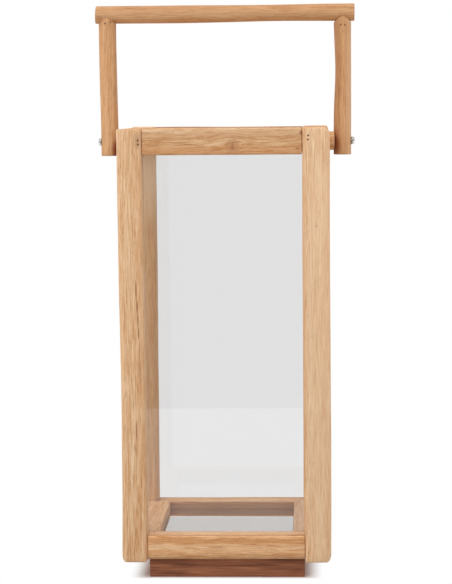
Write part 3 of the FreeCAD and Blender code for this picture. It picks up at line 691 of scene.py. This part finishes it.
def make_rail(name, along, seed, edge_rounds, ends, looks, raised=None):
    """A rail between two posts, its shoulders at ends[0] and ends[1] millimetres. raised says how many
    millimetres its top is lifted, by place along it."""
    low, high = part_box(name)
    low[along] = ends[0] * MM
    high[along] = ends[1] * MM
    bm = squared_stick(low, high, along, [r * MM for r in edge_rounds], 0.45 * MM, 3.0 * MM)
    if raised:
        for vert in bm.verts:
            vert.co.z += raised(vert.co[along]) * MM * eased(vert.co.z, low.z, high.z)
    hand_work(bm, along, seed, 0.3 * MM, 0.14 * MM)
    material = teak("teak_" + name, along, extent(bm, along), seed, "rail", **looks)
    as_piece(bm, name + "_worked", material, "frame", [name])


def make_floor_side_rail(name, seed, edge_rounds, looks):
    """A wide side rail of the floor frame. Its outer part butts against the posts, and its inner part
    is mitred over the front and rear rails."""
    low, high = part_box(name)
    reach = 90.0 * MM
    straight = 60.0 * MM
    butt = 78.1 * MM
    low.y = -reach
    high.y = reach
    low.z += 0.5 * MM
    high.z += 0.55 * MM
    bm = squared_stick(low, high, Y, [r * MM for r in edge_rounds], 0.45 * MM)
    inner = min(abs(low.x), abs(high.x))
    for vert in bm.verts:
        sideways = abs(vert.co.x)
        shoulder = butt if sideways > butt + 0.5 * MM else butt + 0.3 * MM + (sideways - inner)
        if abs(vert.co.y) > straight:
            share = (abs(vert.co.y) - straight) / (reach - straight)
            vert.co.y = math.copysign(straight + share * (shoulder - straight), vert.co.y)
    hand_work(bm, Y, seed, 0.25 * MM, 0.14 * MM)
    material = teak("teak_" + name, Y, extent(bm, Y), seed, "rail", **looks)
    as_piece(bm, name + "_worked", material, "frame", [name])


PLINTH_SHIFT = 1.0 * MM


def make_plinth_strip(name, along, seed, material):
    """A strip of the plinth, slightly uneven above its flat underside and set a little to the right."""
    low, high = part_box(name)
    bm = squared_stick(low, high, along, [0.9 * MM] * 4, 0.7 * MM)
    for vert in bm.verts:
        if vert.co.z > low.z + 0.5 * MM:
            vert.co += noise.noise_vector(vert.co * 24.0 + Vector((seed, 0, 0))) * 0.15 * MM
        vert.co.x += PLINTH_SHIFT
    as_piece(bm, name + "_worked", material, "frame", [name])


# ---------------------------------------------------------------- handle pieces

BAR_LOW, BAR_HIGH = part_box("handle_bar")
BAR_AXIS_Z = (BAR_LOW.z + BAR_HIGH.z) / 2
BAR_RADIUS = (BAR_HIGH.z - BAR_LOW.z) / 2


def make_bar(seed, looks):
    """The hand bar: a natural round stick, a little thinner right of the middle, its left end cut askew."""
    start = Vector((BAR_LOW.x - 0.9 * MM, 0.0, BAR_AXIS_Z))
    end = Vector((BAR_HIGH.x - 1.4 * MM, 0.0, BAR_AXIS_Z))
    bm = round_stick(start, end, BAR_RADIUS, 0.8 * MM)
    for vert in bm.verts:
        waist = math.exp(-((vert.co.x - 0.045) / 0.055) ** 2)
        thin = 1.0 - 0.075 * waist - 0.03
        vert.co.y *= thin
        vert.co.z = BAR_AXIS_Z + (vert.co.z - BAR_AXIS_Z) * thin
        vert.co.z += 0.5 * MM * eased(vert.co.x, -0.1, 0.1) + 0.25 * MM * waist
        if vert.co.x < start.x + 3.0 * MM:
            vert.co.x += 0.5 * (vert.co.z - BAR_AXIS_Z) * 0.09
    hand_work(bm, X, 4.0, 0.4 * MM, 0.16 * MM)
    material = teak("teak_handle_bar", X, extent(bm, X), seed, "handle", **looks)
    as_piece(bm, "handle_bar_worked", material, "handle", ["handle_bar"])


def make_upright(name, side, seed, lean_low, lean_high, looks, hollow=0.0):
    """An upright of the handle, its head hollowed to sit under the bar. It leans out by lean_low
    millimetres at the foot and lean_high at the head, and hollow thins its inner side in the middle."""
    low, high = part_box(name)
    middle_x = (low.x + high.x) / 2
    radius = (high.x - low.x) / 2
    top = BAR_AXIS_Z
    bm = round_stick(Vector((middle_x, 0.0, low.z)), Vector((middle_x, 0.0, top)), radius, 0.7 * MM)
    cut_across(bm, Y, spaced(-radius, radius, 1.6 * MM))
    hollow_from = top - 40.0 * MM
    for vert in bm.verts:
        vert.co.y *= 0.93
        vert.co.x = middle_x + (vert.co.x - middle_x) * 0.965
        head = BAR_AXIS_Z - math.sqrt(max(0.0, (BAR_RADIUS * 0.97) ** 2 - vert.co.y ** 2)) - 0.15 * MM
        if vert.co.z > hollow_from:
            share = (vert.co.z - hollow_from) / (top - hollow_from)
            vert.co.z = hollow_from + share * (head - hollow_from)
    hand_work(bm, Z, seed, 0.35 * MM, 0.15 * MM)
    for vert in bm.verts:
        share = eased(vert.co.z, low.z, top)
        vert.co.x += side * (lean_low + (lean_high - lean_low) * share) * MM
        inward = max(0.0, (middle_x - vert.co.x) * side / radius)
        vert.co.x += side * hollow * MM * inward * math.exp(-((vert.co.z - low.z - 0.088) / 0.03) ** 2)
    material = teak("teak_" + name, Z, extent(bm, Z), seed, "handle", **looks)
    as_piece(bm, name + "_worked", material, "handle", [name])


def make_spacer(name, seed):
    """A turned wooden disc between a post and the handle."""
    low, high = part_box(name)
    middle = (low + high) / 2
    bm = round_stick(Vector((low.x, middle.y, middle.z)), Vector((high.x, middle.y, middle.z)),
                     (high.z - low.z) / 2 - 0.2 * MM, 0.9 * MM)
    hand_work(bm, X, seed, 0.08 * MM, 0.06 * MM)
    material = teak("teak_" + name, X, extent(bm, X), seed, "handle", brightness=1.05)
    as_piece(bm, name + "_turned", material, "frame", [name])


# ---------------------------------------------------------------- assembly

def dress(node, material):
    """Gives a CAD node that keeps its shape a new finish."""
    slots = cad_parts[node].data.materials
    for index in range(len(slots)):
        slots[index] = material


def crack(points, width, stain, depth):
    """Marks down a post's front along a broken line through (x, z) points."""
    marks = []
    for (x, z), (next_x, next_z) in zip(points, points[1:]):
        centre = ((x + next_x) / 2, -0.105, (z + next_z) / 2)
        reach = (width, 0.006, abs(z - next_z) * 0.72)
        marks.append((centre, reach, stain, depth))
    return tuple(marks)


def build_posts():
    outer, inner = 5.8, 3.4
    upper_crack = ((-0.0877, 0.299), (-0.0866, 0.281), (-0.0858, 0.268), (-0.0852, 0.254), (-0.0848, 0.242))
    front_left = crack(upper_crack, 0.00065, UMBER, 1.0)
    front_left += crack(((-0.0846, 0.238), (-0.0839, 0.216), (-0.0834, 0.196)), 0.0007, KNOT, 0.45) + (
        ((-0.0881, -0.105, 0.150), (0.0012, 0.006, 0.014), KNOT, 0.6),
        ((-0.0987, -0.105, 0.1867), (0.0014, 0.006, 0.005), KNOT, 0.28),
        ((-0.0993, -0.105, 0.153), (0.0012, 0.006, 0.006), KNOT, 0.22),
        # the AMBER over the inner part is partly wood tone and partly painted shade; the PALE line on the
        # inner edge near the head is a painted highlight
        ((-0.0835, -0.102, 0.23), (0.0075, 0.010, 0.32), AMBER, 0.1),
        ((-0.0812, -0.104, 0.436), (0.0011, 0.006, 0.020), PALE, 0.6),
        ((-0.0850, -0.104, 0.4385), (0.0045, 0.010, 0.012), UMBER, 0.24))
    front_right = (
        ((0.0919, -0.105, 0.3536), (0.0013, 0.006, 0.0022), KNOT, 0.6),
        # the AMBER strip on the inner edge is partly orange grain and partly painted shade, and the wide
        # PALE area towards the outer side is partly painted light
        ((0.0790, -0.103, 0.19), (0.0026, 0.008, 0.34), AMBER, 0.45),
        ((0.0940, -0.104, 0.24), (0.0230, 0.012, 0.42), PALE, 0.42))
    make_post("post_front_left", 1.0, (outer, inner, inner, outer),
              dict(kind="post", brightness=1.05, marks=front_left), shape_front_left)
    make_post("post_front_right", 2.0, (inner, outer, outer, inner),
              dict(kind="post", brightness=1.12, marks=front_right), shape_front_right)
    make_post("post_rear_left", 3.0, (outer, outer, inner, outer), dict(
        kind="rail", brightness=0.95, streaks=0.12, lines=0.2, hairs=0.2,
        marks=(((-0.085, 0.08, 0.43), (0.03, 0.03, 0.10), PALE, 0.75),)), shape_rear_left)
    make_post("post_rear_right", 4.0, (outer, outer, outer, inner), dict(kind="post"))


def build_rails():
    knot = (0.0095, -0.1035, 0.4325)
    make_rail("top_rail_front", X, 5.0, (1.6, 1.8, 2.4, 2.6), (-80.0, 77.45), dict(
        brightness=0.96, curl=0.0024, slant=1.2,
        swirls=(((0.009, -0.1035, 0.4395), (0.030, 0.02, 0.010), (0.0, 0.0, -0.0022)),
                ((0.006, -0.1035, 0.4290), (0.026, 0.02, 0.008), (0.0, 0.0, 0.0016))),
        # a paler upper band and a darker, more orange lower band, partly wood tone and partly painted light
        # from above; the UMBER line on the top edge is painted shade that tones down the edge's highlight
        marks=(((0.0, -0.1035, 0.4465), (0.3, 0.02, 0.0065), PALE, 0.2),
               ((0.0, -0.1010, 0.4516), (0.3, 0.006, 0.0020), UMBER, 0.45),
               ((0.0, -0.1035, 0.4245), (0.3, 0.02, 0.011), AMBER, 0.36),
               (knot, (0.0090, 0.006, 0.0090), KNOT, 0.30),
               (knot, (0.0022, 0.006, 0.0060), KNOT, 0.40),
               ((0.0734, -0.1035, 0.4298), (0.0034, 0.006, 0.0017), KNOT, 0.6),
               ((0.0769, -0.1035, 0.4454), (0.0022, 0.006, 0.0030), KNOT, 0.7))))
    make_rail("top_rail_left", Y, 6.0, (2.2, 2.2, 2.2, 2.2), (-78.1, 78.1), {}, lambda y: -0.9)
    # the UMBER on the rear top rail's inner face and top edge is painted shade
    make_rail("top_rail_rear", X, 7.0, (2.2, 2.2, 2.2, 2.2), (-80.0, 78.1), dict(
        brightness=0.85, marks=(((0.0, 0.0785, 0.4515), (0.3, 0.014, 0.018), UMBER, 0.7),)),
        lambda x: -0.3 - 0.3 * eased(x, -0.06, 0.0))
    make_rail("top_rail_right", Y, 8.0, (2.2, 2.2, 2.2, 2.2), (-78.1, 78.1), {})
    make_rail("bottom_rail_front", X, 11.0, (3.4, 2.0, 1.2, 1.3), (-78.1, 79.0), dict(
        brightness=1.18, curl=0.0014, slant=-0.8,
        # the lowest UMBER band is painted shade towards the underside, and the UMBER line along the top is
        # a painted shadow where the front pane enters the rail
        marks=(((0.0, -0.1035, 0.0385), (0.3, 0.004, 0.0036), AMBER, 0.5),
               ((0.0, -0.1035, 0.0315), (0.3, 0.004, 0.0042), PALE, 0.22),
               ((0.0, -0.1035, 0.0215), (0.3, 0.004, 0.0062), UMBER, 0.24),
               ((0.0, -0.0998, 0.0435), (0.3, 0.0030, 0.004), UMBER, 0.45))))
    # the UMBER band on the rear floor rail's inner face is painted shade
    make_rail("bottom_rail_rear", X, 13.0, (1.8, 3.0, 1.6, 1.3), (-80.0, 78.1), dict(
        brightness=1.05, marks=(((0.0, 0.0785, 0.037), (0.3, 0.0032, 0.0082), UMBER, 0.6),)))
    make_floor_side_rail("bottom_rail_left", 12.0, (2.6, 1.0, 1.0, 1.8), dict(brightness=1.06, lines=0.3))
    # painted reflection: the ASHEN greying over the right floor rail stands in for the front pane's milky
    # reflection over it
    make_floor_side_rail("bottom_rail_right", 14.0, (1.0, 2.6, 1.8, 1.0), dict(
        brightness=0.97, lines=0.3, marks=(((0.086, 0.0, 0.035), (0.03, 0.3, 0.02), ASHEN, 0.4),)))


def build_frame():
    build_posts()
    build_rails()
    for name, along, seed in (("plinth_front", X, 21.0), ("plinth_left", Y, 22.0),
                              ("plinth_rear", X, 23.0), ("plinth_right", Y, 24.0)):
        make_plinth_strip(name, along, seed, plinth_wood("dark_" + name, along, seed))
    for seed, side in enumerate(("front", "right", "rear", "left")):
        dress("pane_" + side, window_glass("glass_" + side, 1.7 * seed))
    dress("base_board", ply("floor_ply_grain"))
    dress("base_mirror", mirror_plate("silvered_plate"))


def build_handle():
    make_bar(31.0, dict(
        brightness=0.92, bands=0.2, rings=0.12, streaks=0.12, lines=0.22, hairs=0.3, slant=-0.8,
        # painted light and shade across the bar: its top toned down, a paler middle and a darker orange
        # underside
        marks=(((0.0, -0.004, 0.5740), (0.3, 0.02, 0.0065), UMBER, 0.15),
               ((0.0, -0.010, 0.5670), (0.3, 0.02, 0.0042), PALE, 0.10),
               ((0.0, -0.008, 0.5565), (0.3, 0.02, 0.0060), AMBER, 0.5),
               ((-0.1300, -0.011, 0.5630), (0.0060, 0.010, 0.0036), KNOT, 0.4),
               ((-0.1150, -0.011, 0.5600), (0.0050, 0.010, 0.0024), KNOT, 0.4),
               ((0.1010, -0.011, 0.5585), (0.0060, 0.010, 0.0024), UMBER, 0.3))))
    make_upright("handle_upright_left", -1, 32.0, 1.2, 2.6, dict(
        lines=0.24, hairs=0.26,
        # painted shade: a dark patch low on the inner side, beside the post and spacer, and a darker inner
        # side higher up
        marks=(((-0.112, -0.004, 0.426), (0.0095, 0.02, 0.018), PAINTED_JOINT_SHADE, 1.0),
               ((-0.1120, -0.0060, 0.50), (0.0050, 0.02, 0.14), UMBER, 0.16))))
    make_upright("handle_upright_right", 1, 33.0, -0.5, -0.2, dict(
        brightness=0.94, lines=0.24, hairs=0.26,
        # painted shade: a dark patch low on the inner side, beside the post and spacer, and a darker inner
        # side; painted light on the paler outer side
        marks=(((0.1105, -0.004, 0.432), (0.0085, 0.02, 0.017), PAINTED_JOINT_SHADE, 0.8),
               ((0.1115, -0.0060, 0.50), (0.0090, 0.02, 0.16), UMBER, 0.20),
               ((0.1275, -0.0060, 0.50), (0.0050, 0.02, 0.16), PALE, 0.25),
               ((0.1143, -0.0110, 0.5459), (0.0016, 0.006, 0.0022), KNOT, 0.6))), 1.7)
    make_spacer("spacer_left", 9.0)
    make_spacer("spacer_right", 10.0)


SHANK_RADIUS = 2.0 * MM
TIP_RADIUS = 0.4 * MM
SCREW_POINT = 4.0 * MM
HEAD_RADIUS = 4.0 * MM
HEAD_TALL = 3.6 * MM
HEAD_ROUND = 1.9 * MM
CROSS_WIDE = 1.0 * MM
CROSS_DEEP = 1.4 * MM


def make_pivot_screw(name, side, proud, material):
    """A pan-head screw along the pivot, with a cross cut into its head, proud of its seat by so many
    millimetres."""
    low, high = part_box(name)
    middle = (low + high) / 2
    length = high.x - low.x
    bm = bmesh.new()
    bmesh.ops.create_cone(bm, cap_ends=True, segments=20, radius1=TIP_RADIUS, radius2=SHANK_RADIUS,
                          depth=SCREW_POINT)
    bmesh.ops.translate(bm, vec=(0, 0, SCREW_POINT / 2), verts=bm.verts)
    top = max(bm.faces, key=lambda face: face.calc_center_median().z)
    top = drawn_out(bm, top, SHANK_RADIUS, length - HEAD_TALL - SCREW_POINT)
    top = drawn_out(bm, top, HEAD_RADIUS, 0.0)
    top = drawn_out(bm, top, HEAD_RADIUS, HEAD_TALL)
    round_off(bm, top.edges[:], HEAD_ROUND, 6)
    for axis in (X, Y):
        for offset in (-CROSS_WIDE / 2, CROSS_WIDE / 2):
            flat = level_faces(bm, length)
            parts = {item for face in flat for item in [face] + face.edges[:] + face.verts[:]}
            normal = [float(axis == X), float(axis == Y), 0.0]
            bmesh.ops.bisect_plane(bm, geom=list(parts), dist=1e-6, plane_co=[offset * v for v in normal],
                                   plane_no=normal)
    arms = [face for face in level_faces(bm, length)
            if min(abs(face.calc_center_median().x), abs(face.calc_center_median().y)) < CROSS_WIDE / 4]
    drawn = bmesh.ops.extrude_face_region(bm, geom=arms)["geom"]
    sunk = [item for item in drawn if isinstance(item, BMVert)]
    bmesh.ops.translate(bm, vec=(0, 0, -CROSS_DEEP), verts=sunk)
    turn = Vector((side, 0.0, 0.0)).to_track_quat("Z", "Y").to_matrix()
    bmesh.ops.rotate(bm, cent=(0, 0, 0), matrix=turn, verts=bm.verts)
    start = low.x if side > 0 else high.x
    bmesh.ops.translate(bm, vec=(start + side * proud * MM, middle.y, middle.z), verts=bm.verts)
    as_piece(bm, name + "_driven", material, "frame", [name])


def drawn_out(bm, face, radius, length):
    """Draws a round face upwards by length and takes it to a radius. Returns the new face."""
    grown = bmesh.ops.extrude_discrete_faces(bm, faces=[face])["faces"][0]
    for vert in grown.verts:
        vert.co.xy = vert.co.xy.normalized() * radius
        vert.co.z += length
    return grown


def level_faces(bm, height):
    """The faces that lie flat at a height."""
    return [face for face in bm.faces if all(abs(vert.co.z - height) < 0.01 * MM for vert in face.verts)]


BRAD_RADIUS = 0.85 * MM
BRAD_THICK = 0.5 * MM
BRAD_SUNK = 0.04 * MM               # how far the disc's middle lies under the wood


def brad_heads(name, body, node, places, material):
    """Small sunk brad heads, one at each (piece, start, heading): a thin disc with a dished face."""
    bm = bmesh.new()
    graph = bpy.context.evaluated_depsgraph_get()
    for piece, start, heading in places:
        tree = BVHTree.FromObject(bpy.data.objects[piece], graph)
        point, normal, _, _ = tree.ray_cast(Vector(start), Vector(heading))
        before = set(bm.verts)
        bmesh.ops.create_cone(bm, cap_ends=True, segments=14,
                              radius1=BRAD_RADIUS, radius2=BRAD_RADIUS, depth=BRAD_THICK)
        made = [vert for vert in bm.verts if vert not in before]
        faces = {face for vert in made for face in vert.link_faces}
        top = max(faces, key=lambda face: face.calc_center_median().z)
        bmesh.ops.inset_region(bm, faces=[top], thickness=0.18 * MM, depth=0.0)
        bmesh.ops.inset_region(bm, faces=[top], thickness=0.16 * MM, depth=-0.12 * MM)
        made = [vert for vert in bm.verts if vert not in before]
        turn = normal.to_track_quat("Z", "Y").to_matrix()
        bmesh.ops.rotate(bm, cent=(0, 0, 0), matrix=turn, verts=made)
        bmesh.ops.translate(bm, vec=point - normal * BRAD_SUNK, verts=made)
    as_piece(bm, name, material, body, [node])


def frame_brads():
    """Two brads pin each end of each top rail through the post: (piece, start, heading) for each."""
    outside = 0.13
    places = []
    for side, face in ((-1, "front"), (1, "rear")):
        for hand, end in ((-1, "left"), (1, "right")):
            post = "post_" + face + "_" + end + "_worked"
            lift = 3.9 if hand > 0 and side < 0 else 0.0
            for across, up in ((83.5, 434.6), (83.8, 438.7)):
                faced = (hand * across * MM, side * outside, (up + lift) * MM)
                flank = (hand * outside, side * (across + 0.4) * MM, (up + 1.3 * hand) * MM)
                places.append((post, faced, (0, -side, 0)))
                places.append((post, flank, (-hand, 0, 0)))
    return places


def handle_brads():
    """Two brads pin each upright's head to the bar from the front."""
    left = "handle_upright_left_worked"
    right = "handle_upright_right_worked"
    return [(left, (-0.1240, -0.03, 0.5576), (0, 1, 0)), (left, (-0.1185, -0.03, 0.5590), (0, 1, 0)),
            (right, (0.1179, -0.03, 0.5543), (0, 1, 0)), (right, (0.1221, -0.03, 0.5540), (0, 1, 0))]


def fit_hardware():
    bright = steel("bright_steel", (0.47, 0.46, 0.43, 1.0), 0.28, 0.42, 6.0)
    dark = steel("dark_brads", (0.075, 0.032, 0.016, 1.0), 0.6, 0.8, 1.0, 0.1)
    rusty = steel("rusty_brads", (0.21, 0.10, 0.052, 1.0), 0.6, 0.8, 1.0, 0.1)
    dress("plinth_screws", bright)
    make_pivot_screw("pivot_screw_left", -1, 0.9, bright)
    make_pivot_screw("pivot_screw_right", 1, 0.1, bright)
    brad_heads("joint_brads_sunk", "frame", "joint_brads", frame_brads(), dark)
    brad_heads("handle_brads_sunk", "handle", "handle_brads", handle_brads(), rusty)


add_camera()
light_room()
lay_floor()
build_frame()
build_handle()
fit_hardware()
